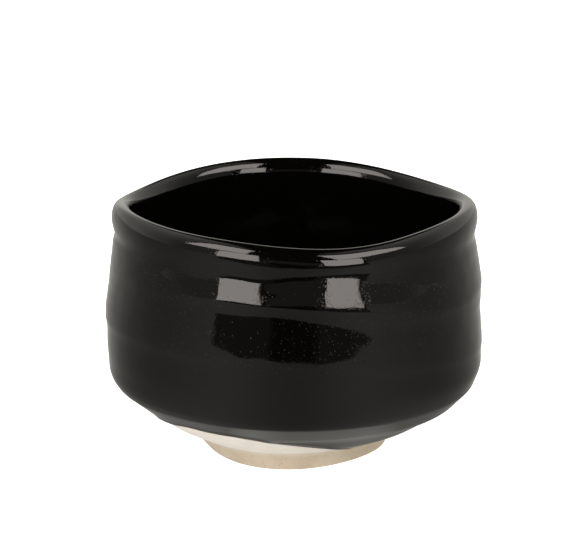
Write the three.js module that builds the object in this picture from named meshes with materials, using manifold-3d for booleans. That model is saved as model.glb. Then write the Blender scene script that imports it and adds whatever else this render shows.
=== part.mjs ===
// A matcha bowl: a thrown stoneware body on a foot ring of paler clay, a glaze
// poured inside, and a second coat that the outside was dipped in, rim first.
// Millimetres, +Z up. The origin is on the table, in the middle of the bowl,
// and -Y is the front.

import * as THREE from 'three';
import { mergeVertices } from 'three/addons/utils/BufferGeometryUtils.js';
import Module from 'manifold-3d';

const wasm = await Module();
wasm.setup();

// Wall, measured over the glaze
const bellyRadius = 59.6; // below the lower throwing ring
const neckRadius = 57.9; // where the wall meets the neck groove
const beadRadius = 58.35; // thickest place of the rim bead
const rimHeight = 79.3; // mean height of the lip
const wallThickness = 5.4;
const lipThickness = 5.5;
const lipCrown = 4.8; // rounded height of the lip
const lipCrestInset = 2.2; // from the bead in to the highest line of the lip
const wallLean = 1.7; // how late the wall starts to lean in, as a power

// Underside and hip
const undersideSlope = THREE.MathUtils.degToRad(26);
const hipRadius = 17; // rounding between the underside and the wall
const floorThickness = 7.2;
const floorRounding = 9; // from the flat floor up to the sloping side
const teaPoolRadius = 16; // shallow dip in the middle of the floor
const teaPoolDepth = 1.2;

// Foot ring
const footRadius = 28.4;
const footHeight = 5.35;
const footWidth = 7;
const footShoulder = 1.6; // from the ring to the start of the sloping underside
const footEdge = 0.8; // rounding of the ring's lower edges
const footTaper = 0.3; // the ring is wider at the top by this much

// Coats
const coatThickness = 0.5;
const bondGap = 0.3; // kept between any two pieces that touch
const innerCoatDrop = 6; // the two coats meet this far below the lip, inside
const coatStep = coatThickness + bondGap;

// The three lobes of the lip and of the foot, left by the hands that turned it
const lipLobes = { count: 3, height: 1.25, peak: THREE.MathUtils.degToRad(90) };
const footLobes = { count: 3, depth: 1.2, peak: THREE.MathUtils.degToRad(-106) };
const footLobeFade = 5.4; // the lobes die out this far above the ring

// The glaze line outside is a slanting plane, because the bowl was dipped at an angle
const dipTilt = THREE.MathUtils.degToRad(16);
const dipTowards = THREE.MathUtils.degToRad(-122); // its high side
const dipHeight = 2.6; // on the axis

// Around and along
const segments = 40;

const baseHeight = footHeight + bondGap;
const shoulderRadius = footRadius + footShoulder;
const hip = hipCentre();

// Throwing rings. A ring lies on a plane that tilts by `tilt` towards an angle.
const neckGroove = {
  height: rimHeight - 9.9,
  tilt: 2.6,
  towards: THREE.MathUtils.degToRad(-100),
  depth: 0.4,
  width: 1.9,
};
const upperRing = {
  height: rimHeight - 25.7,
  tilt: 6.8,
  towards: THREE.MathUtils.degToRad(-127),
  step: 0.45,
  swell: 14,
};
const lowerRing = {
  height: hip.z + 6.5,
  tilt: 6.8,
  towards: THREE.MathUtils.degToRad(-124),
  step: 0.4,
  swell: 14,
};
const ringEdge = 1.6; // half the height over which a ring steps in

// The hip is an arc that touches the sloping underside and the upright wall.
function hipCentre() {
  const r = bellyRadius - hipRadius;
  const touchRadius = r + hipRadius * Math.sin(undersideSlope);
  const rise = (touchRadius - shoulderRadius) * Math.tan(undersideSlope);
  return { r, z: baseHeight + rise + hipRadius * Math.cos(undersideSlope) };
}

function smooth(low, high, value) {
  return THREE.MathUtils.smoothstep(value, low, high);
}

// Each ring swells downwards from the ring above and steps in at its own edge.
function ringStep(ring, z) {
  const above = z - ring.height;
  const swell = 1 - smooth(0, ring.swell, above);
  return ring.step * swell * smooth(-ringEdge, ringEdge, above);
}

function wallRadius(z) {
  const start = lowerRing.height;
  const along = THREE.MathUtils.clamp((z - start) / (neckGroove.height - start), 0, 1);
  const lean = (bellyRadius - neckRadius) * along ** wallLean;
  const groove = neckGroove.depth * Math.exp(-(((z - neckGroove.height) / neckGroove.width) ** 2));
  const bead = (beadRadius - neckRadius) * smooth(neckGroove.height, rimHeight - lipCrown, z);
  return bellyRadius - lean + ringStep(upperRing, z) + ringStep(lowerRing, z) - groove + bead;
}

function arc(centreR, centreZ, sizeR, sizeZ, from, to, steps) {
  const curve = new THREE.EllipseCurve(centreR, centreZ, sizeR, sizeZ, from, to, to < from);
  return curve.getPoints(steps);
}

// Heights of the rows of points up the wall, closer together at the rings.
function wallRows() {
  const rows = [hip.z + 2.5];
  for (const ring of [lowerRing, upperRing]) {
    rows.push(ring.height - ringEdge, ring.height, ring.height + ringEdge);
    rows.push(ring.height + 6);
  }
  for (const offset of [-2.2, 0, 2.2]) {
    rows.push(neckGroove.height + offset);
  }
  return rows.sort((a, b) => a - b);
}

// The finished surface outside: up the underside, round the hip and up the wall.
function outsideOutline() {
  const touch = undersideSlope - Math.PI / 2;
  const hipArc = arc(hip.r, hip.z, hipRadius, hipRadius, touch, 0, 6);
  const points = [];
  const steps = 3;
  for (let i = 0; i < steps; i += 1) {
    const r = THREE.MathUtils.lerp(shoulderRadius, hipArc[0].x, i / steps);
    points.push(new THREE.Vector2(r, baseHeight + (r - shoulderRadius) * Math.tan(undersideSlope)));
  }
  points.push(...hipArc);
  for (const z of wallRows()) {
    points.push(new THREE.Vector2(wallRadius(z), z));
  }
  return points;
}

// Over the lip: a steep outer and a broad inner quarter of an ellipse.
function lipOutline() {
  const crest = beadRadius - lipCrestInset;
  const lipBase = rimHeight - lipCrown;
  const outer = arc(crest, lipBase, lipCrestInset, lipCrown, 0, Math.PI / 2, 4);
  const innerWidth = lipThickness - lipCrestInset;
  const inner = arc(crest, lipBase, innerWidth, lipCrown, Math.PI / 2, Math.PI, 4);
  return [...outer, ...inner.slice(1)];
}

// Down the inside: parallel to the outside, then a flat floor with its tea pool.
function insideOutline() {
  const lipInside = beadRadius - lipThickness;
  const wallInside = bellyRadius - wallThickness;
  const points = [];
  const lipBase = rimHeight - lipCrown;
  const steps = 5;
  for (let i = 1; i < steps; i += 1) {
    const z = THREE.MathUtils.lerp(lipBase, hip.z, i / steps);
    const r = THREE.MathUtils.lerp(wallInside, lipInside, smooth(hip.z, lipBase, z));
    points.push(new THREE.Vector2(r, z));
  }
  const innerHip = hipRadius - wallThickness;
  points.push(...arc(hip.r, hip.z, innerHip, innerHip, 0, undersideSlope - Math.PI / 2, 5));
  const floorZ = footHeight + floorThickness;
  const side = points[points.length - 1];
  const meet = side.x - (side.y - floorZ) / Math.tan(undersideSlope);
  const reach = floorRounding / 2;
  const from = new THREE.Vector2(meet + reach, floorZ + reach * Math.tan(undersideSlope));
  const to = new THREE.Vector2(meet - reach, floorZ);
  const rounding = new THREE.QuadraticBezierCurve(from, new THREE.Vector2(meet, floorZ), to);
  points.push(...rounding.getPoints(3));
  const poolSteps = 3;
  for (let i = 0; i <= poolSteps; i += 1) {
    const r = teaPoolRadius * (1 - i / poolSteps);
    const dip = teaPoolDepth * (0.5 + 0.5 * Math.cos((Math.PI * r) / teaPoolRadius));
    points.push(new THREE.Vector2(r, floorZ - dip));
  }
  return points;
}

// The same outline, moved into the material by `depth`.
function inset(points, depth) {
  return points.map((point, i) => {
    const before = points[Math.max(i - 1, 0)];
    const after = points[Math.min(i + 1, points.length - 1)];
    const along = after.clone().sub(before).normalize();
    return new THREE.Vector2(point.x - along.y * depth, point.y + along.x * depth);
  });
}

function tiltAt(ring, angle) {
  return ring.tilt * Math.cos(angle - ring.towards);
}

function lobeAt(lobes, angle) {
  return Math.cos(lobes.count * (angle - lobes.peak));
}

// How far a point of the outer wall moves up, from the rings nearest to it.
function outerLift(z, angle) {
  const knots = [
    [hip.z - 7, 0],
    [lowerRing.height, tiltAt(lowerRing, angle)],
    [upperRing.height, tiltAt(upperRing, angle)],
    [neckGroove.height, tiltAt(neckGroove, angle)],
    [rimHeight - lipCrown, lipLobes.height * lobeAt(lipLobes, angle)],
  ];
  if (z <= knots[0][0]) {
    return 0;
  }
  for (let i = 1; i < knots.length; i += 1) {
    const [lowZ, lowLift] = knots[i - 1];
    const [highZ, highLift] = knots[i];
    if (z <= highZ) {
      return THREE.MathUtils.lerp(lowLift, highLift, (z - lowZ) / (highZ - lowZ));
    }
  }
  return knots[knots.length - 1][1];
}

function innerLift(z, angle) {
  const fade = smooth(hip.z, rimHeight - lipCrown, z);
  return fade * lipLobes.height * lobeAt(lipLobes, angle);
}

// Turns a round thrown form into the lobed one with tilted rings.
function shapeByHand(geometry) {
  const position = geometry.attributes.position;
  const midWall = beadRadius - lipThickness / 2;
  for (let i = 0; i < position.count; i += 1) {
    const x = position.getX(i);
    const y = position.getY(i);
    const z = position.getZ(i);
    const r = Math.hypot(x, y);
    const angle = Math.atan2(y, x);
    const lift = r > midWall ? outerLift(z, angle) : innerLift(z, angle);
    const nearFoot = 1 - smooth(0, footLobeFade, z - footHeight);
    const outOfPool = smooth(0, footRadius - footWidth, r);
    const out = footLobes.depth * lobeAt(footLobes, angle) * nearFoot * outOfPool;
    const scale = r > 0 ? (r + out) / r : 1;
    position.setXYZ(i, x * scale, y * scale, z + lift);
  }
  return geometry;
}

// Revolves an outline (radius, height) about Z and shapes it.
function thrown(points) {
  const lathe = new THREE.LatheGeometry(points, segments);
  lathe.rotateX(Math.PI / 2);
  lathe.deleteAttribute('normal');
  lathe.deleteAttribute('uv');
  return mergeVertices(shapeByHand(lathe), 1e-4);
}

function ringOf(points) {
  return thrown([...points, points[0].clone()]);
}

function toSolid(geometry) {
  const vertProperties = new Float32Array(geometry.attributes.position.array);
  const triVerts = new Uint32Array(geometry.index.array);
  return new wasm.Manifold(new wasm.Mesh({ numProp: 3, vertProperties, triVerts }));
}

function fromSolid(solid) {
  const mesh = solid.getMesh();
  const geometry = new THREE.BufferGeometry();
  geometry.setAttribute('position', new THREE.BufferAttribute(mesh.vertProperties, 3));
  geometry.setIndex(new THREE.BufferAttribute(mesh.triVerts, 1));
  return geometry;
}

// Everything under the slanting glaze line.
function underDipLine() {
  const size = 6 * bellyRadius;
  const geometry = new THREE.BoxGeometry(size, size, size);
  geometry.translate(0, 0, -size / 2);
  const axis = new THREE.Vector3(Math.sin(dipTowards), -Math.cos(dipTowards), 0);
  geometry.applyMatrix4(new THREE.Matrix4().makeRotationAxis(axis, dipTilt));
  geometry.translate(0, 0, dipHeight);
  geometry.deleteAttribute('normal');
  geometry.deleteAttribute('uv');
  return mergeVertices(geometry, 1e-4);
}

// The row where the outer coat ends, a little way down inside the lip.
function splitAtJoin(points) {
  const crest = points.reduce((best, point, i) => (point.y > points[best].y ? i : best), 0);
  const join = points.findIndex((point, i) => i > crest && point.y < rimHeight - innerCoatDrop);
  const from = points[join - 1];
  const share = (from.y - (rimHeight - innerCoatDrop)) / (from.y - points[join].y);
  const edge = from.clone().lerp(points[join], share);
  const below = edge.clone();
  below.y -= bondGap;
  return {
    outer: [...points.slice(0, join), edge],
    inner: [below, ...points.slice(join)],
  };
}

function clayBody(finished) {
  const clay = inset(finished, coatStep);
  const floor = clay[clay.length - 1];
  floor.x = 0;
  const slope = Math.tan(undersideSlope);
  const start = clay[0];
  start.x -= (start.y - baseHeight) / slope;
  start.y = baseHeight;
  return thrown([new THREE.Vector2(0, baseHeight), ...clay]);
}

function footRing() {
  const inner = footRadius - footWidth;
  const outer = footRadius;
  const top = footHeight;
  const quarter = Math.PI / 2;
  const outerEdge = arc(outer - footEdge, footEdge, footEdge, footEdge, -quarter, 0, 3);
  const innerEdge = arc(inner + footEdge, footEdge, footEdge, footEdge, -2 * quarter, -quarter, 3);
  const topEdge = [new THREE.Vector2(outer + footTaper, top), new THREE.Vector2(inner, top)];
  return ringOf([...outerEdge, ...topEdge, ...innerEdge]);
}

function outerGlaze(skin) {
  const back = inset(skin, coatThickness).reverse();
  const coat = toSolid(ringOf([...skin, ...back]));
  return fromSolid(coat.subtract(toSolid(underDipLine())));
}

function innerGlaze(skin) {
  const back = inset(skin, coatThickness).reverse();
  back[0].x = 0;
  return thrown([...back, ...skin]);
}

function piece(name, geometry, material) {
  const mesh = new THREE.Mesh(geometry, material);
  mesh.name = name;
  return mesh;
}

const bodyClay = new THREE.MeshStandardMaterial({ color: 0xd7d0c3, roughness: 0.85, metalness: 0 });
const footClay = new THREE.MeshStandardMaterial({ color: 0xcdbea5, roughness: 0.9, metalness: 0 });
const outerBlack = new THREE.MeshStandardMaterial({ color: 0x0b0a09, roughness: 0.08, metalness: 0 });
const innerBlack = new THREE.MeshStandardMaterial({ color: 0x080808, roughness: 0.1, metalness: 0 });

const finished = [...outsideOutline(), ...lipOutline(), ...insideOutline()];
const coats = splitAtJoin(finished);

const matchaBowl = new THREE.Group();
matchaBowl.name = 'matcha_bowl';
matchaBowl.add(piece('clay_body', clayBody(finished), bodyClay));
matchaBowl.add(piece('foot_ring', footRing(), footClay));
matchaBowl.add(piece('outer_glaze', outerGlaze(coats.outer), outerBlack));
matchaBowl.add(piece('inner_glaze', innerGlaze(coats.inner), innerBlack));

export default matchaBowl;
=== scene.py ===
import math
from bisect import bisect_right

import bmesh
import bpy
from mathutils import Matrix, Vector, noise


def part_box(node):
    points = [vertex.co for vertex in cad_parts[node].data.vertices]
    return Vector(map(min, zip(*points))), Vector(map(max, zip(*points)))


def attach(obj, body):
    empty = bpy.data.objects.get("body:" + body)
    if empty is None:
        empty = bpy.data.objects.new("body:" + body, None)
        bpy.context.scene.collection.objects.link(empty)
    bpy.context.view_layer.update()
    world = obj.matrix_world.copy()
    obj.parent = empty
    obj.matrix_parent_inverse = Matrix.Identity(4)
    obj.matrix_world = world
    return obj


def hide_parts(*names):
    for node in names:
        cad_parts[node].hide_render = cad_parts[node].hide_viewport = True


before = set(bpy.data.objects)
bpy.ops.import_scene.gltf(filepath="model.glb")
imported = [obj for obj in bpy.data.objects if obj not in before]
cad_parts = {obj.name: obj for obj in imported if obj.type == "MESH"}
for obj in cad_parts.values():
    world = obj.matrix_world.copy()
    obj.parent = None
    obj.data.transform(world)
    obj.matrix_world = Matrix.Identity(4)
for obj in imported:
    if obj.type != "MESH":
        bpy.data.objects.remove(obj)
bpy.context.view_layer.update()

# A matcha bowl: black glaze over pale stoneware, standing on a bare clay foot.
# The line of the bowl is worked out in millimetres, as (radius, height), and every
# piece is spun from it, then pushed about as a potter's hands would.

mm = 0.001
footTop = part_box("foot_ring")[1].z / mm
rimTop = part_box("outer_glaze")[1].z / mm

form = {
    "bellyRadius": 59.6,
    "neckRadius": 57.9,
    "beadRadius": 58.35,
    "wall": 5.4,
    "lip": 5.5,
    "lipCrown": 4.8,
    "crestInset": 2.2,  # from the bead in to the highest line of the lip
    "wallLean": 1.7,
    "slope": math.radians(26),  # of the underside
    "hipRadius": 17.0,
    "floorThickness": 7.2,
    "floorRounding": 9.0,
    "poolRadius": 16.0,
    "poolDepth": 1.2,
}

foot = {
    "radius": 28.7,
    "width": 7.0,
    "shoulder": 1.6,
    "edge": 0.9,
    "taper": 0.3,
    "lobes": 3,
    "lobeDepth": 1.2,
    "lobePeak": math.radians(-106),
    "lobeFade": 5.4,
    "fillet": 1.7,  # how far the foot curves out under the bowl
    "flare": 4.2,  # the top of the foot spreads on one side
    "flareTowards": math.radians(186),
    "flareNarrowing": 3,
    "flareCurve": 0.8,
    "filletFrom": 3.2,  # below the top of the foot
    "turningMarks": 0.07,
    "markPitch": 5.2,
    "markDrift": 1.5,
}

# The rim goes up and down: how many swings, how high, and the angle of the peak.
lipWave = {
    "level": 0.14,
    "frontDrop": 0.42,
    "swings": (
        (3, 1.25, 90.0),
        (1, 0.64, -117.0),
        (2, 0.32, 58.0),
        (3, 0.47, -4.6),
        (4, 0.14, -4.3),
        (5, 0.21, -24.0),
        (6, 0.16, 13.0),
    ),
    # The lip is thicker at its sides: by how much, over how many degrees, how far to the front.
    "thickSides": (1.2, 16, 5),
}

rim = rimTop - lipWave["swings"][0][1]
base = footTop + 0.3

# Throwing rings: a ring lies on a plane that tilts towards an angle. Its step is
# `step` deep on average and changes by `change` towards the right of the bowl.
neck = {
    "height": rim - 9.9,
    "tilt": 1.3,
    "towards": math.radians(-115),
    "depth": 0.4,
    "width": 1.9,
    "bend": 0.12,  # how softly the leaning wall turns upright under the neck
    "frontDepth": 0.06,
    "frontBead": 0.32,
    "frontDrop": 0.3,
    "lean": 1.5,  # how far the lip leans in, in front
    "thumbs": ((-100, -1.7, 9), (-120, -1.9, 8), (-73, 0.5, 9)),  # angle, height, width
}
upperRing = {
    "height": rim - 25.7,
    "tilt": 8.1,
    "towards": math.radians(-120.3),
    "step": 0.45,
    "change": 0.25,
    "swell": 14.0,
    "edgeAbove": 1.7,
    "edgeBelow": 3.0,
    "edgeBelowRight": 5.2,
    "edgeAboveRight": 0.8,
}


def hipCentre():
    r = form["bellyRadius"] - form["hipRadius"]
    touch = r + form["hipRadius"] * math.sin(form["slope"])
    rise = (touch - foot["radius"] - foot["shoulder"]) * math.tan(form["slope"])
    return r, base + rise + form["hipRadius"] * math.cos(form["slope"])


hipR, hipZ = hipCentre()
lowerRing = {
    "height": hipZ + 6.5,
    "tilt": 6.0,
    "towards": math.radians(-136),
    "step": 0.4,
    "change": -0.12,
    "swell": 14.0,
    "edgeAbove": 1.6,
    "edgeBelow": 1.8,
    "edgeBelowRight": 1.8,
    "edgeAboveRight": 1.6,
}

# The underside was trimmed with a blade: a flat cone, then a chamfer up to the hip.
trim = {
    "chamfer": (math.radians(33), math.radians(58)),  # the slopes of the hip it runs between
    "sag": (1.0, -0.3),  # how far the underside hangs below a true cone: on average, to the right
    "sagAt": (30, 36, 50, 41),  # the radii between which it comes and goes
    "leftStart": 47.8,  # on the left the chamfer starts from this radius of the cone
    "softness": 0.3,
}

# How far the wall stands out from a round one, by height, on the left and on the right.
stance = (
    (8, 0.0, 0.3),
    (13, -0.3, 0.5),
    (17, 0.0, 0.9),
    (21, 0.1, 0.8),
    (25, 0.5, 0.35),
    (30, 0.1, 0.4),
    (36, 0.3, 0.35),
    (42, 0.25, 0.25),
    (47, 0.25, 0.1),
    (51, 0.05, 0.0),
    (55, -0.2, 0.5),
    (60, -0.55, 0.35),
    (65, -0.55, 0.05),
    (71, -0.5, -0.25),
    (76, -0.35, -0.1),
    (82, -0.3, -0.1),
)

# What the hands leave everywhere on the wall.
hand = {
    "swells": ((0.10, 16), (0.05, 6)),  # how deep, and how far across
    "around": 58,  # the radius that the swells are laid out on
    "rise": 0.45,  # above its foot the bowl stands a little higher
    "riseOver": 12,
}

# The dip line: the bowl was dipped at a slant, rim first.
dip = {
    "tilt": math.radians(16),
    "towards": math.radians(-122),
    "height": 2.6,
    "waver": 0.45,  # how far the line wanders
    "waverSize": 4,
    "searchStep": 0.4,
    "samples": 200,
    "beadHeight": 0.22,  # the glaze gathers at its edge
    "beadWidth": 1.1,
}
coat = {
    "thickness": 0.5,
    "joinBelow": 6.0,  # the two coats meet this far under the rim
    "sunk": 0.42,  # the clay lies this far inside the line
}

# How finely each stretch is cut, in millimetres, and how often all the way round.
stepOf = {
    "underside": 0.5,
    "wall": 0.75,
    "lip": 0.4,
    "inside": 0.9,
    "hidden": 2.2,
    "hiddenInside": 2.5,
    "bareClay": 0.55,
    "footTop": 0.8,
    "foot": 0.35,
    "uncut": 999.0,
}
segments = {"bowl": 320, "foot": 256}
spinRadius = 60.0  # a coat is spun as a strip at this radius, clear of the axis
mergeDistance = 0.0005
sharpAngle = math.radians(50)

print("frame loaded, rim", round(rim, 2), "foot", round(footTop, 2))


def smooth(low, high, value):
    t = min(max((value - low) / (high - low), 0.0), 1.0)
    return t * t * (3 - 2 * t)


def mix(a, b, t):
    return a + (b - a) * t


def softMin(a, b, softness):
    # The lower of two values, with the corner between them rounded off.
    t = min(max(0.5 + 0.5 * (b - a) / softness, 0.0), 1.0)
    return mix(b, a, t) - softness * t * (1 - t)


def softMax(a, b, softness):
    return -softMin(-a, -b, softness)


def spread(start, end, step):
    count = max(1, round(abs(end - start) / step))
    return [mix(start, end, i / count) for i in range(count + 1)]


def wallRadius(z):
    start = lowerRing["height"]
    along = max((z - start) / (neck["height"] - start), 0.0)
    along = softMin(along, 1.0, neck["bend"])
    lean = (form["bellyRadius"] - form["neckRadius"]) * along ** form["wallLean"]
    groove = neck["depth"] * math.exp(-(((z - neck["height"]) / neck["width"]) ** 2))
    bead = form["beadRadius"] - form["neckRadius"]
    bead *= smooth(neck["height"], rim - form["lipCrown"], z)
    return form["bellyRadius"] - lean - groove + bead


def arc(centreR, centreZ, sizeR, sizeZ, start, end, step):
    length = abs(end - start) * (sizeR + sizeZ) / 2
    turns = spread(0, length, step)
    angles = [mix(start, end, t / length) for t in turns]
    return [(centreR + sizeR * math.cos(a), centreZ + sizeZ * math.sin(a)) for a in angles]


def bowlLine():
    step = 0.2
    slope = math.tan(form["slope"])
    touch = form["slope"] - math.pi / 2
    line = []
    hip = arc(hipR, hipZ, form["hipRadius"], form["hipRadius"], touch, 0, step)
    shoulder = foot["radius"] + foot["shoulder"]
    line += [(r, base + (r - shoulder) * slope) for r in spread(shoulder, hip[0][0], step)[:-1]]
    line += hip
    lipBase = rim - form["lipCrown"]
    line += [(wallRadius(z), z) for z in spread(hipZ, lipBase, step)[1:-1]]
    crest = form["beadRadius"] - form["crestInset"]
    innerWidth = form["lip"] - form["crestInset"]
    line += arc(crest, lipBase, form["crestInset"], form["lipCrown"], 0, math.pi / 2, step)
    line += arc(crest, lipBase, innerWidth, form["lipCrown"], math.pi / 2, math.pi, step)[1:]
    lipInside = form["beadRadius"] - form["lip"]
    wallInside = form["bellyRadius"] - form["wall"]
    for z in spread(lipBase, hipZ, step)[1:-1]:
        line.append((mix(wallInside, lipInside, smooth(hipZ, lipBase, z)), z))
    innerHip = form["hipRadius"] - form["wall"]
    line += arc(hipR, hipZ, innerHip, innerHip, 0, touch, step)
    floorZ = footTop + form["floorThickness"]
    meet = line[-1][0] - (line[-1][1] - floorZ) / slope
    reach = form["floorRounding"] / 2
    for t in spread(0, 1, step / form["floorRounding"]):
        a, b, c = (1 - t) ** 2, 2 * t * (1 - t), t * t
        r = a * (meet + reach) + b * meet + c * (meet - reach)
        line.append((r, floorZ + a * reach * slope))
    for r in spread(form["poolRadius"], 0, step):
        pool = form["poolDepth"] * (0.5 + 0.5 * math.cos(math.pi * r / form["poolRadius"]))
        line.append((r, floorZ - pool))
    return line


line = bowlLine()
lineLength = [0.0]
for (r0, z0), (r1, z1) in zip(line, line[1:]):
    lineLength.append(lineLength[-1] + math.hypot(r1 - r0, z1 - z0))


def onLine(s):
    s = min(max(s, 0.0), lineLength[-1])
    i = min(bisect_right(lineLength, s) - 1, len(line) - 2)
    t = (s - lineLength[i]) / max(lineLength[i + 1] - lineLength[i], 1e-9)
    return mix(line[i][0], line[i + 1][0], t), mix(line[i][1], line[i + 1][1], t)


def beside(s, depth):
    # A point `depth` outside the line, or inside the material if it is negative.
    r, z = onLine(s)
    if depth == 0:
        return r, z
    r0, z0 = onLine(s - 0.5)
    r1, z1 = onLine(s + 0.5)
    length = math.hypot(r1 - r0, z1 - z0)
    return max(r + (z1 - z0) / length * depth, 0.0), z - (r1 - r0) / length * depth


def lengthAt(test):
    return next(s for s, point in zip(lineLength, line) if test(*point))


hipEnd = lengthAt(lambda r, z: z > hipZ)
lipStart = lengthAt(lambda r, z: z > rim - form["lipCrown"])
lipCrest = max(zip(line, lineLength), key=lambda pair: pair[0][1])[1]
joinZ = rim - coat["joinBelow"]
joinAt = next(s for s, (r, z) in zip(lineLength, line) if s > lipCrest and z < joinZ)
lineEnd = lineLength[-1]


def tiltAt(ring, angle):
    return ring["tilt"] * math.cos(angle - ring["towards"])


def lobe(shape, peak, angle):
    return math.cos(shape * (angle - peak))


def lipLift(angle):
    swings = (
        height * lobe(count, math.radians(peak), angle)
        for count, height, peak in lipWave["swings"]
    )
    return lipWave["level"] - lipWave["frontDrop"] * inFront(angle) + sum(swings)


def inFront(angle):
    return smooth(0.1, 0.85, -math.sin(angle))


def neckLift(angle):
    lift = tiltAt(neck, angle) - neck["frontDrop"] * inFront(angle)
    for at, height, width in neck["thumbs"]:
        away = (math.degrees(angle) - at + 180) % 360 - 180
        lift += height * math.exp(-((away / width) ** 2))
    return lift


def outerLift(z, angle):
    knots = [
        (hipZ - 7, 0.0),
        (lowerRing["height"], tiltAt(lowerRing, angle)),
        (upperRing["height"], tiltAt(upperRing, angle)),
        (neck["height"], neckLift(angle)),
        (rim - form["lipCrown"], lipLift(angle)),
    ]
    if z <= knots[0][0]:
        return 0.0
    for (lowZ, low), (highZ, high) in zip(knots, knots[1:]):
        if z <= highZ:
            return mix(low, high, (z - lowZ) / (highZ - lowZ))
    return knots[-1][1]


def ringStep(ring, z, angle):
    above = z - ring["height"]
    swell = 1 - smooth(0, ring["swell"], above)
    depth = ring["step"] + ring["change"] * math.cos(angle)
    right = smooth(-0.1, 0.4, math.cos(angle)) * smooth(0.3, -0.3, math.sin(angle))
    low = mix(ring["edgeBelow"], ring["edgeBelowRight"], right)
    high = mix(ring["edgeAbove"], ring["edgeAboveRight"], right)
    return depth * swell * smooth(-low, high, above)


def stanceAt(z, angle):
    turn = math.cos(angle)
    side = 1 if turn < 0 else 2
    knots = [(knot[0], knot[side]) for knot in stance]
    if z <= knots[0][0]:
        out = knots[0][1]
    elif z >= knots[-1][0]:
        out = knots[-1][1]
    else:
        i = next(i for i in range(len(knots) - 1) if z < knots[i + 1][0])
        t = smooth(knots[i][0], knots[i + 1][0], z)
        out = mix(knots[i][1], knots[i + 1][1], t)
    return out * abs(turn) ** 2.5


def frontNeck(z, angle):
    # In front the neck is shallower and the bead under the lip flatter.
    groove = neck["depth"] - neck["frontDepth"]
    groove *= math.exp(-(((z - neck["height"]) / neck["width"]) ** 2))
    bead = form["beadRadius"] - form["neckRadius"] - neck["frontBead"]
    up = (z - rim + form["lipCrown"]) / form["lipCrown"]
    lean = neck["lean"] * (1 - math.sqrt(max(1 - up * up, 0.0))) if up > 0 else 0.0
    bead *= smooth(neck["height"], rim - form["lipCrown"], z)
    return inFront(angle) * (groove - lean - bead)


def thickerLip(angle):
    # The lip is thicker at the two sides.
    depth, width, turn = lipWave["thickSides"]
    fromSide = math.degrees(math.atan2(math.sin(angle), abs(math.cos(angle)))) + turn
    return depth * math.exp(-((fromSide / width) ** 2))


def trimLift(s, angle):
    # How far up or down the trimming has moved this part of the underside.
    if s > hipEnd:
        return 0.0
    r, z = onLine(s)
    mean, towardsRight = trim["sag"]
    start, full, end, fading = trim["sagAt"]
    sag = mean + towardsRight * math.cos(angle)
    sag *= smooth(start, full, r) * smooth(end, fading, r)
    (startR, startZ), (endR, endZ) = (arcPoint(slope) for slope in trim["chamfer"])
    left = smooth(0, 0.6, -math.cos(angle))
    across = trim["leftStart"] - foot["radius"] - foot["shoulder"]
    cone = base + across * math.tan(form["slope"])
    startR, startZ = mix(startR, trim["leftStart"], left), mix(startZ, cone, left)
    new = z - sag
    if startR - 2 < r < endR + 0.5:
        chamfer = startZ - sag + (r - startR) * (endZ - startZ + sag) / (endR - startR)
        new = softMax(new, chamfer, trim["softness"])
    return new - z


def arcPoint(slope):
    return hipR + form["hipRadius"] * math.sin(slope), hipZ - form["hipRadius"] * math.cos(slope)


def waver(angle, z, scale):
    x = math.cos(angle) * hand["around"] / scale
    y = math.sin(angle) * hand["around"] / scale
    return noise.noise(Vector((x, y, z / scale)))


midWall = form["beadRadius"] - form["lip"] / 2


def byHand(r, z, angle, under=False):
    outside = r > midWall
    lipBase = rim - form["lipCrown"]
    lift = outerLift(z, angle) if outside else smooth(hipZ, lipBase, z) * lipLift(angle)
    upWall = smooth(hipZ - 6, hipZ + 4, z)
    out = sum(depth * waver(angle, z, size) * upWall for depth, size in hand["swells"])
    lipPart = smooth(rim - 22, lipBase, z)
    bead = form["beadRadius"] - form["neckRadius"] - neck["frontBead"]
    if outside or under:
        out += ringStep(upperRing, z, angle) + ringStep(lowerRing, z, angle)
        out += frontNeck(z, angle)
        out += stanceAt(z + lift, angle) * smooth(foot["radius"], foot["radius"] + 12, r)
    else:
        leanIn = (bead + neck["lean"]) * inFront(angle)
        out += lipPart * (stanceAt(z + lift, angle) - leanIn - thickerLip(angle))
    nearFoot = 1 - smooth(0, foot["lobeFade"], z - footTop)
    outOfPool = smooth(0, foot["radius"] - foot["width"], r)
    out += foot["lobeDepth"] * lobe(foot["lobes"], foot["lobePeak"], angle) * nearFoot * outOfPool
    r = max(r + out, 0.0) if r > 0 else 0.0
    lift += hand["rise"] * smooth(footTop, footTop + hand["riseOver"], z)
    return Vector((r * math.cos(angle), r * math.sin(angle), z + lift))


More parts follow.
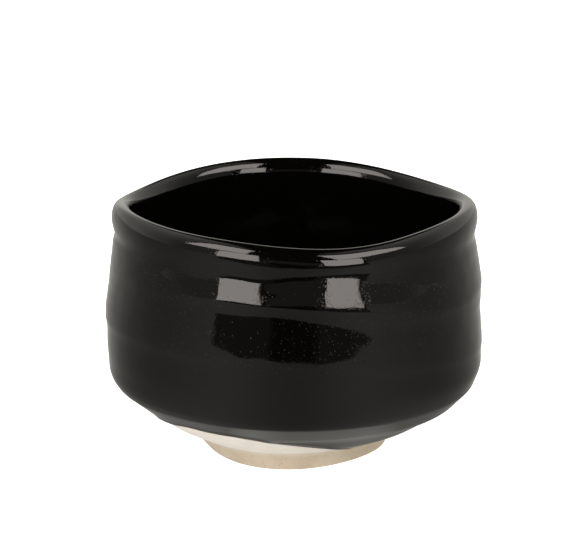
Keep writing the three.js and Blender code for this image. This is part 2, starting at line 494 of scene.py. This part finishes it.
def spinPiece(name, corners, place, closed=False, steps=segments["bowl"], offset=0.0, edgeAt=None):
    # Each corner is (across, up, step). One vertex is extruded from corner to corner in steps,
    # the line is spun, and `place` then puts every point in the bowl.
    bm = bmesh.new()
    tip = bm.verts.new((offset + corners[0][0], 0, corners[0][1]))
    ends = corners[1:] + corners[:1] if closed else corners[1:]
    for (u, v, step), (endU, endV, _) in zip(corners, ends):
        for t in spread(0, 1, step / math.hypot(endU - u, endV - v))[1:]:
            tip = bmesh.ops.extrude_vert_indiv(bm, verts=[tip])["verts"][0]
            tip.co = (offset + mix(u, endU, t), 0, mix(v, endV, t))
    bmesh.ops.remove_doubles(bm, verts=bm.verts, dist=0.0001)
    bmesh.ops.spin(
        bm,
        geom=bm.verts[:] + bm.edges[:],
        cent=(0, 0, 0),
        axis=(0, 0, 1),
        angle=2 * math.pi,
        steps=steps,
        use_merge=True,
    )
    fromEdge = bm.verts.layers.float.new("fromEdge")
    for vert in bm.verts:
        angle = math.atan2(vert.co.y, vert.co.x)
        if edgeAt:
            vert[fromEdge] = edgeAt(vert.co.z, angle)
        vert.co = place(math.hypot(vert.co.x, vert.co.y) - offset, vert.co.z, angle)
    bmesh.ops.remove_doubles(bm, verts=bm.verts, dist=mergeDistance)
    bmesh.ops.scale(bm, vec=(mm, mm, mm), verts=bm.verts)
    bmesh.ops.recalc_face_normals(bm, faces=bm.faces)
    mesh = bpy.data.meshes.new(name)
    bm.to_mesh(mesh)
    bm.free()
    mesh.polygons.foreach_set("use_smooth", [True] * len(mesh.polygons))
    mesh.set_sharp_from_angle(angle=sharpAngle)
    piece = bpy.data.objects.new(name, mesh)
    bpy.context.scene.collection.objects.link(piece)
    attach(piece, "root")
    return piece


def dipLineAt(angle):
    # How far up the line the glaze starts at this angle.
    slope = math.tan(dip["tilt"])
    size = dip["waverSize"]
    at = Vector((math.cos(angle) * size, math.sin(angle) * size, 7))
    wander = dip["waver"] * noise.noise(at)
    s = 0.0
    while s < hipEnd:
        r, z = onLine(s)
        point = byHand(r, z + trimLift(s, angle), angle, True)
        along = point.x * math.cos(dip["towards"]) + point.y * math.sin(dip["towards"])
        if point.z > dip["height"] + slope * along + wander:
            return s
        s += dip["searchStep"]
    return s


def dipTable(count):
    # The starts all the way round, smoothed twice.
    raw = [dipLineAt(2 * math.pi * i / count) for i in range(count)]
    for _ in range(2):
        raw = [(raw[i - 1] + 2 * raw[i] + raw[(i + 1) % count]) / 4 for i in range(count)]
    return raw


dipStarts = dipTable(dip["samples"])


def dipStart(angle):
    turn = (angle / (2 * math.pi)) % 1.0 * len(dipStarts)
    i = int(turn) % len(dipStarts)
    return mix(dipStarts[i], dipStarts[(i + 1) % len(dipStarts)], turn - int(turn))


def coatAlong(s, angle):
    start = dipStart(angle)
    return start, max(s, start + s * (hipEnd - start) / hipEnd)


def aboveEdge(s, angle):
    start, along = coatAlong(s, angle)
    return along - start


def placeCoat(depth, s, angle):
    start, along = coatAlong(s, angle)
    gather = dip["beadHeight"] * math.exp(-(((along - start) / dip["beadWidth"]) ** 2))
    full = 1 + depth / coat["thickness"]
    r, z = beside(along, depth + gather * full)
    return byHand(r, z + trimLift(along, angle), angle, along < hipEnd)


def outerGlaze():
    half = coat["thickness"] / 2
    corners = [
        (0.0, half, stepOf["underside"]),
        (0.0, hipEnd, stepOf["wall"]),
        (0.0, lipStart, stepOf["lip"]),
        (0.0, joinAt, stepOf["uncut"]),
        (-coat["thickness"], joinAt, stepOf["hidden"]),
        (-coat["thickness"], half, stepOf["uncut"]),
    ]
    # The lower end is rounded.
    for turn in spread(-math.pi / 2, math.pi / 2, 0.4)[1:-1]:
        across = -half + half * math.sin(turn)
        corners.append((across, half - half * math.cos(turn), stepOf["uncut"]))
    return spinPiece(
        "outerGlaze", corners, placeCoat, closed=True, offset=spinRadius, edgeAt=aboveEdge
    )


def innerGlaze():
    def place(depth, s, angle):
        r, z = beside(s, depth)
        if s > lineEnd - 0.01:
            r = 0.0
        return byHand(r, z, angle)

    back = -coat["thickness"]
    corners = [
        (back, lineEnd, stepOf["hiddenInside"]),
        (back, joinAt, stepOf["uncut"]),
        (0.0, joinAt, stepOf["inside"]),
        (0.0, lineEnd, stepOf["uncut"]),
    ]
    return spinPiece("innerGlaze", corners, place, offset=spinRadius)


def clayBody():
    # The level of a corner says where it belongs: over the foot, on the line, or at its end.
    overFoot, alongLine, atEnd = 0.0, 1.0, 2.0
    sunk = -coat["sunk"]
    edge = beside(0.0, sunk)[0] - 1.0
    corners = [
        (0.0, overFoot, stepOf["footTop"]),
        (edge, overFoot, stepOf["uncut"]),
        (edge + 1.0, alongLine, stepOf["bareClay"]),
        (edge + 1.0 + hipEnd, alongLine, stepOf["hiddenInside"]),
        (edge - 1.5 + lineEnd, alongLine, stepOf["uncut"]),
        (0.0, atEnd, stepOf["uncut"]),
    ]

    def place(u, kind, angle):
        if kind < (overFoot + alongLine) / 2:
            return byHand(u, base, angle)
        if kind > (alongLine + atEnd) / 2:
            return byHand(0.0, beside(lineEnd, sunk)[1], angle)
        along = u - edge - 1.0
        r, z = beside(along, sunk)
        return byHand(r, z + trimLift(along, angle), angle, along < hipEnd)

    return spinPiece("clayBody", corners, place)


def footRing():
    outer = foot["radius"]
    inner = outer - foot["width"]
    edge = foot["edge"]
    quarter = math.pi / 2
    corners = arc(outer - edge, edge, edge, edge, -quarter, 0, 0.2)
    corners += [(outer + foot["taper"], base), (inner, base)]
    corners += arc(inner + edge, edge, edge, edge, -2 * quarter, -quarter, 0.2)
    corners = [(r, z, stepOf["foot"]) for r, z in corners]

    def place(r, z, angle):
        outside = smooth(outer - 3, outer, r)
        towards = max(0.0, math.cos(angle - foot["flareTowards"])) ** foot["flareNarrowing"]
        side = foot["flare"] * towards * (z / base) ** foot["flareCurve"]
        fillet = foot["fillet"] * smooth(base - foot["filletFrom"], base + 0.8, z)
        r += (fillet + side) * outside
        step, edgeOut = coat["sunk"] * math.cos(form["slope"]), outer + foot["shoulder"]
        # The top follows the underside of the bowl, where it spreads past the shoulder.
        cone = step * min(max(r - edgeOut + 1.2, 0.0), 1.0)
        cone += max(r - edgeOut + 0.2, 0.0) * math.tan(form["slope"])
        z += cone * smooth(base - 2.5, base, z)
        point = byHand(r, z, angle)
        upSide = smooth(0.2, 1.2, z)
        turned = math.sin(z * foot["markPitch"] + foot["markDrift"] * math.cos(angle))
        marks = foot["turningMarks"] * (turned + waver(angle, z, 3))
        marks *= smooth(base + 0.2, base - 1, z)
        point.x += marks * upSide * math.cos(angle)
        point.y += marks * upSide * math.sin(angle)
        return point

    return spinPiece("footRing", corners, place, closed=True, steps=segments["foot"])


def newNode(tree, kind, **values):
    node = tree.nodes.new(kind)
    for key, value in values.items():
        setattr(node, key, value)
    return node


def setInputs(node, **values):
    for key, value in values.items():
        node.inputs[key.replace("_", " ")].default_value = value


def math2(tree, operation, a, b=0.5, clamp=False):
    node = newNode(tree, "ShaderNodeMath", operation=operation, use_clamp=clamp)
    for socket, value in zip(node.inputs, (a, b)):
        if isinstance(value, (int, float)):
            socket.default_value = value
        else:
            tree.links.new(value, socket)
    return node.outputs[0]


def mapped(tree, value, low, high, toLow=0.0, toHigh=1.0):
    node = newNode(tree, "ShaderNodeMapRange")
    node.interpolation_type = "SMOOTHSTEP"
    node.inputs["From Min"].default_value = low
    node.inputs["From Max"].default_value = high
    node.inputs["To Min"].default_value = toLow
    node.inputs["To Max"].default_value = toHigh
    tree.links.new(value, node.inputs["Value"])
    return node.outputs["Result"]


def noiseAt(tree, vector, scale, detail=3.0, rough=0.5):
    node = newNode(tree, "ShaderNodeTexNoise")
    setInputs(node, Scale=scale, Detail=detail, Roughness=rough)
    tree.links.new(vector, node.inputs["Vector"])
    return node.outputs["Fac"]


def mixColor(tree, fac, a, b):
    node = newNode(tree, "ShaderNodeMix", data_type="RGBA")
    sockets = [s for s in node.inputs if s.enabled]
    for socket, value in zip(sockets, (fac, a, b)):
        if isinstance(value, (int, float, tuple)):
            socket.default_value = value
        else:
            tree.links.new(value, socket)
    return next(s for s in node.outputs if s.enabled)


def newGroup(name, inputs, outputs):
    tree = bpy.data.node_groups.new(name, "ShaderNodeTree")
    for label, value in inputs:
        socket = tree.interface.new_socket(
            name=label, in_out="INPUT", socket_type="NodeSocketFloat"
        )
        socket.default_value = value
    for label in outputs:
        tree.interface.new_socket(name=label, in_out="OUTPUT", socket_type="NodeSocketFloat")
    return tree, tree.nodes.new("NodeGroupInput"), tree.nodes.new("NodeGroupOutput")


def pinholeGroup():
    # Burst bubbles and a faint ripple in the glaze.
    tree, given, result = newGroup(
        "pinholes",
        [("Cells", 900.0), ("Size", 0.16), ("Amount", 0.4), ("Patches", 45.0)],
        ["Pits", "Ripple", "Dimples"],
    )
    where = newNode(tree, "ShaderNodeTexCoord").outputs["Object"]
    cells = newNode(tree, "ShaderNodeTexVoronoi", feature="F1")
    tree.links.new(where, cells.inputs["Vector"])
    tree.links.new(given.outputs["Cells"], cells.inputs["Scale"])
    inside = math2(tree, "SUBTRACT", given.outputs["Size"], cells.outputs["Distance"])
    dot = math2(tree, "MULTIPLY", inside, 14.0, clamp=True)
    pick = newNode(tree, "ShaderNodeSeparateColor")
    tree.links.new(cells.outputs["Color"], pick.inputs["Color"])
    patchNoise = newNode(tree, "ShaderNodeTexNoise")
    setInputs(patchNoise, Detail=2.0)
    tree.links.new(where, patchNoise.inputs["Vector"])
    tree.links.new(given.outputs["Patches"], patchNoise.inputs["Scale"])
    patch = mapped(tree, patchNoise.outputs["Fac"], 0.30, 0.60)
    chance = math2(tree, "MULTIPLY", patch, given.outputs["Amount"])
    kept = math2(tree, "LESS_THAN", pick.outputs["Red"], chance)
    tree.links.new(math2(tree, "MULTIPLY", dot, kept), result.inputs["Pits"])
    tree.links.new(noiseAt(tree, where, 260.0, 3.0, 0.55), result.inputs["Ripple"])
    fine = newNode(tree, "ShaderNodeTexVoronoi", feature="F1")
    setInputs(fine, Scale=1450.0)
    tree.links.new(where, fine.inputs["Vector"])
    hollow = mapped(tree, fine.outputs["Distance"], 0.36, 0.06)
    patchy = mapped(tree, noiseAt(tree, where, 90.0, 2.0), 0.40, 0.62, 0.12, 1.0)
    tree.links.new(math2(tree, "MULTIPLY", hollow, patchy), result.inputs["Dimples"])
    return tree


pinholes = pinholeGroup()


def usePinholes(tree, **values):
    node = newNode(tree, "ShaderNodeGroup", node_tree=pinholes)
    setInputs(node, **values)
    return node


def newMaterial(name):
    material = bpy.data.materials.new(name)
    material.use_nodes = True
    tree = material.node_tree
    return material, tree, tree.nodes["Principled BSDF"]


blackGlaze = {
    "color": (0.0007, 0.00065, 0.0005, 1),
    "pitColor": (0.010, 0.0095, 0.0085, 1),
    "edgeColor": (0.05, 0.026, 0.012, 1),  # thin glaze breaks brown at the dip line
    "edgeWidth": (0.15, 0.9),
    "roughness": 0.035,
    "ripple": 0.55,
    "dimples": -0.4,
    "pitDepth": 0.25,
    "pitRoughness": 0.12,
    "pitsBetween": (0.032, 0.048),  # the heights over which the pinholes come in
    "fewerAbove": (0.074, 0.066, 0.3),  # and over which they thin out, and to how many
    "smallPits": {"Cells": 900.0, "Size": 0.19, "Patches": 38.0},
    "largePits": {"Cells": 520.0, "Size": 0.1, "Patches": 30.0},
    "bump": 0.00003,
}


def glazeMaterial(name, pitAmount, dipped=False):
    material, tree, shader = newMaterial(name)
    where = newNode(tree, "ShaderNodeTexCoord").outputs["Object"]
    small = usePinholes(tree, Amount=pitAmount * 1.2, **blackGlaze["smallPits"])
    large = usePinholes(tree, Amount=pitAmount, **blackGlaze["largePits"])
    height = newNode(tree, "ShaderNodeSeparateXYZ")
    tree.links.new(where, height.inputs[0])
    band = mapped(tree, height.outputs["Z"], *blackGlaze["pitsBetween"])
    thinOut = mapped(tree, height.outputs["Z"], *blackGlaze["fewerAbove"])
    band = math2(tree, "MULTIPLY", band, thinOut)
    pits = math2(tree, "MAXIMUM", small.outputs["Pits"], large.outputs["Pits"])
    pits = math2(tree, "MULTIPLY", pits, band)
    color = mixColor(tree, pits, blackGlaze["color"], blackGlaze["pitColor"])
    if dipped:
        fromEdge = newNode(tree, "ShaderNodeAttribute", attribute_name="fromEdge").outputs["Fac"]
        full, none = blackGlaze["edgeWidth"]
        color = mixColor(tree, mapped(tree, fromEdge, none, full), color, blackGlaze["edgeColor"])
    tree.links.new(color, shader.inputs["Base Color"])
    cloud = noiseAt(tree, where, 55.0, 2.0)
    rough = mapped(tree, cloud, 0.3, 0.7, blackGlaze["roughness"], blackGlaze["roughness"] + 0.03)
    rough = math2(tree, "ADD", rough, math2(tree, "MULTIPLY", pits, blackGlaze["pitRoughness"]))
    tree.links.new(rough, shader.inputs["Roughness"])
    rippled = math2(tree, "MULTIPLY", small.outputs["Ripple"], blackGlaze["ripple"])
    dimples = math2(tree, "MULTIPLY", small.outputs["Dimples"], blackGlaze["dimples"])
    rippled = math2(tree, "ADD", rippled, dimples)
    sunken = math2(tree, "MULTIPLY", pits, blackGlaze["pitDepth"])
    level = math2(tree, "SUBTRACT", rippled, sunken)
    bump = newNode(tree, "ShaderNodeBump")
    setInputs(bump, Strength=1.0, Distance=blackGlaze["bump"])
    tree.links.new(level, bump.inputs["Height"])
    tree.links.new(bump.outputs["Normal"], shader.inputs["Normal"])
    setInputs(shader, IOR=1.5)
    return material


# Both pieces of clay take their tone from the height, so that the foot runs softly into the bowl.
clay = {
    "low": ((0.48, 0.415, 0.32, 1), (0.42, 0.355, 0.265, 1), (0.26, 0.20, 0.13, 1)),
    "high": ((0.63, 0.60, 0.545, 1), (0.57, 0.53, 0.47, 1), (0.38, 0.33, 0.26, 1)),
    "from": 0.0042,
    "to": 0.0078,
    "grainScale": 2600.0,
    "cloudScale": 70.0,
    "dotScale": 700.0,
    "roughness": 0.85,
    "bump": 0.00008,
}


def clayMaterial(name, markScale):
    material, tree, shader = newMaterial(name)
    where = newNode(tree, "ShaderNodeTexCoord").outputs["Object"]
    grain = noiseAt(tree, where, clay["grainScale"], 4.0, 0.7)
    cloud = noiseAt(tree, where, clay["cloudScale"], 4.0, 0.6)
    split = newNode(tree, "ShaderNodeSeparateXYZ")
    tree.links.new(where, split.inputs[0])
    level = math2(tree, "ADD", split.outputs["Z"], math2(tree, "MULTIPLY", cloud, 0.0012))
    high = mapped(tree, level, clay["from"] + 0.0006, clay["to"] + 0.0006)
    pale, warm, speck = (mixColor(tree, high, *pair) for pair in zip(clay["low"], clay["high"]))
    color = mixColor(tree, mapped(tree, cloud, 0.3, 0.7), pale, warm)
    dots = newNode(tree, "ShaderNodeTexVoronoi", feature="F1")
    setInputs(dots, Scale=clay["dotScale"])
    tree.links.new(where, dots.inputs["Vector"])
    dot = mapped(tree, dots.outputs["Distance"], 0.22, 0.10)
    color = mixColor(tree, math2(tree, "MULTIPLY", dot, 0.5), color, speck)
    shade = mapped(tree, grain, 0.2, 0.8, 0.0, 0.35)
    color = mixColor(tree, shade, color, speck)
    tree.links.new(color, shader.inputs["Base Color"])
    squares = [math2(tree, "POWER", split.outputs[axis], 2.0) for axis in "XY"]
    radius = math2(tree, "SQRT", math2(tree, "ADD", *squares))
    drift = math2(tree, "MULTIPLY", cloud, 0.004)
    across = math2(tree, "ADD", math2(tree, "ADD", radius, split.outputs["Z"]), drift)
    marks = math2(tree, "SINE", math2(tree, "MULTIPLY", across, markScale))
    marks = math2(tree, "MULTIPLY", marks, 0.25)
    level = math2(tree, "ADD", math2(tree, "MULTIPLY", grain, 1.2), marks)
    level = math2(tree, "SUBTRACT", level, math2(tree, "MULTIPLY", dot, 0.6))
    bump = newNode(tree, "ShaderNodeBump")
    setInputs(bump, Strength=1.0, Distance=clay["bump"])
    tree.links.new(level, bump.inputs["Height"])
    tree.links.new(bump.outputs["Normal"], shader.inputs["Normal"])
    setInputs(shader, Roughness=clay["roughness"], IOR=1.4)
    return material


def finishPiece(piece, material, node):
    piece.data.materials.append(material)
    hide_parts(node)
    print("made", piece.name, len(piece.data.polygons), "faces")


finishPiece(clayBody(), clayMaterial("bodyClay", 5200.0), "clay_body")
finishPiece(footRing(), clayMaterial("footClay", 3800.0), "foot_ring")
outerBlack = glazeMaterial("outerBlackGlaze", 1.1, True)
finishPiece(outerGlaze(), outerBlack, "outer_glaze")
finishPiece(innerGlaze(), glazeMaterial("innerBlackGlaze", 0.04), "inner_glaze")


camera = {
    "elevation": math.radians(15.6),
    "distance": 1.04,
    "aim": Vector((-0.0013, 0.0, 0.05445)),
    "lens": 202.2,
}


def addCamera():
    data = bpy.data.cameras.new("camera")
    data.lens = camera["lens"]
    data.sensor_width = 36.0
    data.clip_start, data.clip_end = 0.05, 20.0
    shot = bpy.data.objects.new("camera", data)
    e = camera["elevation"]
    back = Vector((0, -math.cos(e), math.sin(e)))
    shot.location = camera["aim"] + back * camera["distance"]
    shot.rotation_mode = "QUATERNION"
    shot.rotation_quaternion = (-back).to_track_quat("-Z", "Y")
    bpy.context.scene.collection.objects.link(shot)
    bpy.context.scene.camera = shot


studio = {
    "table": (0.29, 0.45, 0.26, 0.54),  # as the glaze mirrors it, from front to back
    "paintedGlowDisc": 0.95,  # a painted bright patch round the foot, which glows only in reflections
    "discRadius": (0.034, 0.042, 0.046, 0.062),  # out of the foot's shade, then where it fades
    "discLeft": (-0.014, -0.034, 0.12),  # the bowl's shadow falls on its left part
    "discSides": (0.55, 1.15, 0.3),  # the angles over which it fades, and to what
    "footShade": 0.12,
    "nearShade": (0.028, 0.046, 0.7),  # the table is darker close to the foot
    "floorGlow": 0.75,
    "plain": 1.4,  # the light that reaches everything evenly
    "cardColor": (1.0, 0.925, 0.87, 1),
    "cardBase": 0.06,
    "tableEdge": -0.25,  # in front of this the room is dark
    "gap": math.radians(44),  # half the width of the dark part of the room
    "centre": math.radians(12),
    "glimmer": 0.075,
    "sides": 0.25,
    "back": 0.75,
    "softbox": 5.0,
    "window": 0.15,  # a dim panel between the softboxes
    "warmth": (1.0, 0.975, 0.90, 1),
    "again": 0.04,  # how strongly a panel shows in a reflection of a reflection
}


def aroundBowl(tree, vector):
    # The angle away from the front, from nought to pi, and the split vector.
    split = newNode(tree, "ShaderNodeSeparateXYZ")
    tree.links.new(vector, split.inputs[0])
    side = math2(tree, "ABSOLUTE", split.outputs["X"])
    ahead = math2(tree, "MULTIPLY", split.outputs["Y"], -1.0)
    return math2(tree, "ARCTAN2", side, ahead), split


def addFloor():
    size = 4.0
    bm = bmesh.new()
    bmesh.ops.create_grid(bm, x_segments=1, y_segments=1, size=size)
    mesh = bpy.data.meshes.new("floor")
    bm.to_mesh(mesh)
    bm.free()
    floor = bpy.data.objects.new("floor", mesh)
    bpy.context.scene.collection.objects.link(floor)
    material, tree, shader = newMaterial("floorPale")
    tree.nodes.remove(shader)
    where = newNode(tree, "ShaderNodeTexCoord").outputs["Object"]
    turn, split = aroundBowl(tree, where)
    # Reflections see a painted reflection here instead of the pale floor: a glowing grey table and
    # a dark room, with painted shade close to the foot.
    front, middle, side, back = studio["table"]
    grey = mapped(tree, turn, 0.0, 0.6, front, middle)
    grey = math2(tree, "SUBTRACT", grey, mapped(tree, turn, 0.6, 1.5, 0.0, middle - side))
    grey = math2(tree, "ADD", grey, mapped(tree, turn, 1.6, 2.7, 0.0, back - side))
    edge = studio["tableEdge"]
    past = mapped(tree, split.outputs["Y"], edge + 0.004, edge - 0.004)
    gap = studio["gap"]
    dark = math2(tree, "MULTIPLY", mapped(tree, turn, gap * 1.02, gap * 0.98), past)
    centre = studio["centre"]
    faint = mapped(tree, turn, centre * 0.8, centre * 1.3, 0.0, studio["glimmer"])
    grey = math2(tree, "MULTIPLY", grey, math2(tree, "SUBTRACT", 1.0, dark))
    grey = math2(tree, "ADD", grey, math2(tree, "MULTIPLY", dark, faint))
    length = newNode(tree, "ShaderNodeVectorMath", operation="LENGTH")
    tree.links.new(where, length.inputs[0])
    # Painted reflection: a bright patch round the foot that glows only for reflected rays, with
    # painted shade near the foot and a painted shadow on its left.
    shade, clear, fade, reach = studio["discRadius"]
    paintedGlowDisc = mapped(tree, length.outputs["Value"], reach, fade, 0.0, studio["paintedGlowDisc"])
    away = length.outputs["Value"]
    fromFoot = mapped(tree, away, shade, clear, studio["footShade"], 1.0)
    paintedGlowDisc = math2(tree, "MULTIPLY", paintedGlowDisc, fromFoot)
    start, end, least = studio["discSides"]
    paintedGlowDisc = math2(tree, "MULTIPLY", paintedGlowDisc, mapped(tree, turn, start, end, 1.0, least))
    start, end, least = studio["discLeft"]
    fromLeft = mapped(tree, split.outputs["X"], end, start, least, 1.0)
    paintedGlowDisc = math2(tree, "MULTIPLY", paintedGlowDisc, fromLeft)
    start, end, least = studio["nearShade"]
    grey = math2(tree, "MULTIPLY", grey, mapped(tree, away, start, end, least, 1.0))
    mirrored = newNode(tree, "ShaderNodeEmission")
    setInputs(mirrored, Color=studio["warmth"])
    tree.links.new(math2(tree, "MAXIMUM", grey, paintedGlowDisc), mirrored.inputs["Strength"])
    diffuse = newNode(tree, "ShaderNodeBsdfDiffuse")
    setInputs(diffuse, Color=(0.85, 0.85, 0.85, 1))
    glow = newNode(tree, "ShaderNodeEmission")
    setInputs(glow, Strength=studio["floorGlow"])
    pale = newNode(tree, "ShaderNodeAddShader")
    tree.links.new(diffuse.outputs[0], pale.inputs[0])
    tree.links.new(glow.outputs[0], pale.inputs[1])
    path = newNode(tree, "ShaderNodeLightPath")
    choose = newNode(tree, "ShaderNodeMixShader")
    tree.links.new(path.outputs["Is Glossy Ray"], choose.inputs["Fac"])
    tree.links.new(pale.outputs[0], choose.inputs[1])
    tree.links.new(mirrored.outputs[0], choose.inputs[2])
    tree.links.new(choose.outputs[0], tree.nodes["Material Output"].inputs["Surface"])
    mesh.materials.append(material)


def addWorld():
    world = bpy.data.worlds.new("studio")
    bpy.context.scene.world = world
    world.use_nodes = True
    tree = world.node_tree
    tree.nodes.clear()
    where = newNode(tree, "ShaderNodeTexCoord").outputs["Generated"]
    turn, split = aroundBowl(tree, where)
    gap = studio["gap"]
    inFront = mapped(tree, turn, gap * 1.02, gap * 0.98)
    overhead = mapped(tree, math2(tree, "ABSOLUTE", split.outputs["X"]), 0.26, 0.20)
    overhead = math2(tree, "MULTIPLY", overhead, mapped(tree, split.outputs["Z"], 0.45, 0.55))
    dark = math2(tree, "MAXIMUM", inFront, overhead)
    around = mapped(tree, split.outputs["Y"], -0.35, 0.45, studio["sides"], studio["back"])
    lit = math2(tree, "MULTIPLY", around, math2(tree, "SUBTRACT", 1.0, dark))
    path = newNode(tree, "ShaderNodeLightPath")
    mirrored = newNode(tree, "ShaderNodeBackground")
    setInputs(mirrored, Color=studio["warmth"])
    tree.links.new(lit, mirrored.inputs["Strength"])
    plain = newNode(tree, "ShaderNodeBackground")
    setInputs(plain, Strength=studio["plain"])
    choose = newNode(tree, "ShaderNodeMixShader")
    out = newNode(tree, "ShaderNodeOutputWorld")
    tree.links.new(path.outputs["Is Glossy Ray"], choose.inputs["Fac"])
    tree.links.new(plain.outputs[0], choose.inputs[1])
    tree.links.new(mirrored.outputs[0], choose.inputs[2])
    tree.links.new(choose.outputs[0], out.inputs["Surface"])


def addCard(name, fromAngle, toAngle, low, high, glowAt, reach=0.8):
    # An upright panel of light: its sides are at angles from the front, in degrees.
    middle = math.radians((fromAngle + toAngle) / 2)
    half = reach * math.tan(math.radians(abs(toAngle - fromAngle) / 2))
    bottom = studio["cardBase"] + reach * math.tan(math.radians(low))
    top = studio["cardBase"] + reach * math.tan(math.radians(high))
    bm = bmesh.new()
    bmesh.ops.create_grid(bm, x_segments=1, y_segments=1, size=0.5)
    bmesh.ops.scale(bm, vec=(2 * half, top - bottom, 1), verts=bm.verts)
    bmesh.ops.rotate(bm, matrix=Matrix.Rotation(math.radians(-90), 3, "X"), verts=bm.verts)
    bmesh.ops.rotate(bm, matrix=Matrix.Rotation(middle, 3, "Z"), verts=bm.verts)
    centre = (reach * math.sin(middle), -reach * math.cos(middle), (top + bottom) / 2)
    bmesh.ops.translate(bm, vec=centre, verts=bm.verts)
    mesh = bpy.data.meshes.new(name)
    bm.to_mesh(mesh)
    bm.free()
    card = bpy.data.objects.new(name, mesh)
    bpy.context.scene.collection.objects.link(card)
    card.visible_camera = False
    card.visible_shadow = False
    material, tree, shader = newMaterial(name)
    tree.nodes.remove(shader)
    glow = newNode(tree, "ShaderNodeEmission")
    setInputs(glow, Color=studio["cardColor"])
    depth = newNode(tree, "ShaderNodeLightPath").outputs["Ray Depth"]
    strength = mapped(tree, depth, 1.4, 1.6, glowAt, glowAt * studio["again"])
    tree.links.new(strength, glow.inputs["Strength"])
    tree.links.new(glow.outputs[0], tree.nodes["Material Output"].inputs["Surface"])
    mesh.materials.append(material)


def lightStudio():
    for side, inner, outer in ((-1, 19.5, 46.5), (1, 18.5, 41.0)):
        label = "Left" if side < 0 else "Right"
        glowAt = studio["softbox"]
        addCard("softboxLow" + label, side * inner, side * outer, -2.0, 28.5, glowAt)
        addCard("softboxHigh" + label, side * (inner + 9), side * 74.0, 31.5, 62.0, glowAt)
    addCard("window", -17.0, 17.0, -1.0, 12.0, studio["window"], 0.85)
    addFloor()
    addWorld()
    view = bpy.context.scene.view_settings
    view.view_transform = "Standard"
    view.look = "None"


addCamera()
lightStudio()
print("studio lit")
